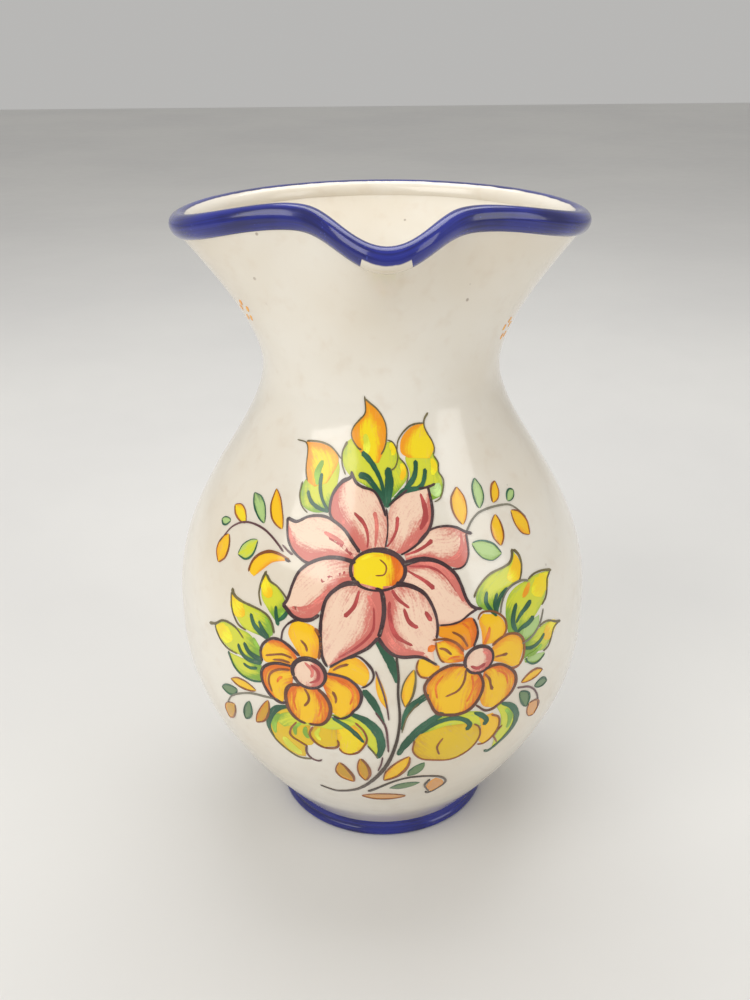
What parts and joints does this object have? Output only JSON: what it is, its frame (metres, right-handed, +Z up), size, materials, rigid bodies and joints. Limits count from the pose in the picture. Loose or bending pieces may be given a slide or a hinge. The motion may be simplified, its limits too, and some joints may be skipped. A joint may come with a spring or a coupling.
{
  "type": "pouring jug",
  "caption": "Round-bellied glazed pottery jug with a narrow waist, a wide mouth pinched into a spout, a rolled lip, a turned foot and a strap handle, painted with flowers.",
  "frame": {"origin": "on the surface the jug stands on, at the middle of the space that the jug and its handle take", "axes": "+Z up along the pot's own axis, -Y towards the pouring spout, +Y towards the handle"},
  "size_m": [0.1632, 0.194, 0.2562],
  "materials": {
    "white_glaze": "glossy cream-white tin glaze, softly uneven, with a few pinholes",
    "cobalt_glaze": "glossy cobalt blue brushed in streaks, paler where it is thin",
    "rose_paint": "rose-pink wash fused into the glaze, darker where the brush rested",
    "amber_paint": "orange and yellow washes fused into the glaze",
    "leaf_paint": "yellow-green and deep green washes fused into the glaze",
    "line_paint": "thin dark brown brush outlines fused into the glaze"
  },
  "bodies": {
    "root": {"body": "white_glaze", "neck": "white_glaze", "rim_roll": "cobalt_glaze", "foot_ring": "cobalt_glaze", "handle": "white_glaze", "handle_upper_pad": "white_glaze", "handle_lower_pad": "white_glaze"}
  },
  "joints": []
}
